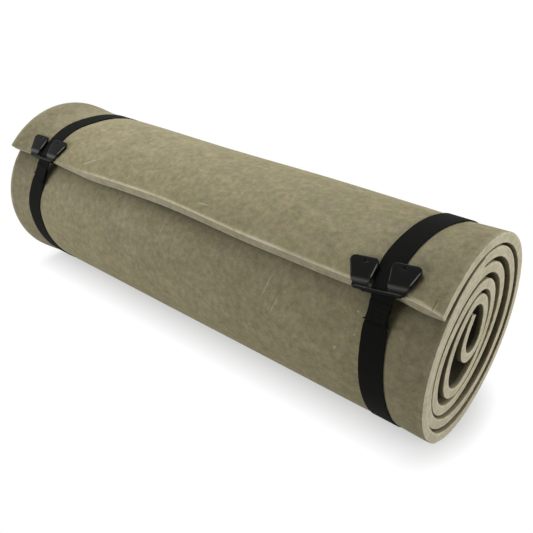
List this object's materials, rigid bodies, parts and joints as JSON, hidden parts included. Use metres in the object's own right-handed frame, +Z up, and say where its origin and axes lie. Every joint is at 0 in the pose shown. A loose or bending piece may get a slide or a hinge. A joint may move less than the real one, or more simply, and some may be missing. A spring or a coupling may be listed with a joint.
{
  "type": "rolled sleeping mat",
  "caption": "Rolled closed-cell foam sleeping mat held by elastic straps, each threaded through a moulded clip with wings.",
  "frame": {"origin": "middle of the bounding box's base, on the floor under the roll", "axes": "X runs along the roll, with the near end (the one that shows the winding in the picture) at +X; Z is up; the flap edge and the clips face -Y and up"},
  "size_m": [0.6, 0.199, 0.2046],
  "materials": {
    "olive_foam": "matt closed-cell polyethylene foam",
    "black_elastic": "woven elastic tape",
    "black_thread": "polyester sewing thread",
    "black_plastic": "moulded, slightly glossy"
  },
  "bodies": {
    "mat": {"foam_mat": "olive_foam"},
    "near_strap_body": {"near_strap": "black_elastic", "near_stitch_upper": "black_thread", "near_stitch_lower": "black_thread"},
    "near_clip_body": {"near_clip": "black_plastic"},
    "far_strap_body": {"far_strap": "black_elastic", "far_stitch_upper": "black_thread", "far_stitch_lower": "black_thread"},
    "far_clip_body": {"far_clip": "black_plastic"}
  },
  "joints": [
    {"name": "near_strap_slide", "type": "slide", "parent": "mat", "child": "near_strap_body", "axis": [1, 0, 0], "range_m": [-0.12, 0.1]},
    {"name": "near_clip_tilt", "type": "hinge", "parent": "near_strap_body", "child": "near_clip_body", "pos_m": [0.2445, -0.08068, 0.1667], "axis": [1, 0, 0], "range_deg": [0, 40]},
    {"name": "far_strap_slide", "type": "slide", "parent": "mat", "child": "far_strap_body", "axis": [1, 0, 0], "range_m": [-0.1, 0.12]},
    {"name": "far_clip_tilt", "type": "hinge", "parent": "far_strap_body", "child": "far_clip_body", "pos_m": [-0.236, -0.08068, 0.1667], "axis": [1, 0, 0], "range_deg": [0, 40]}
  ]
}
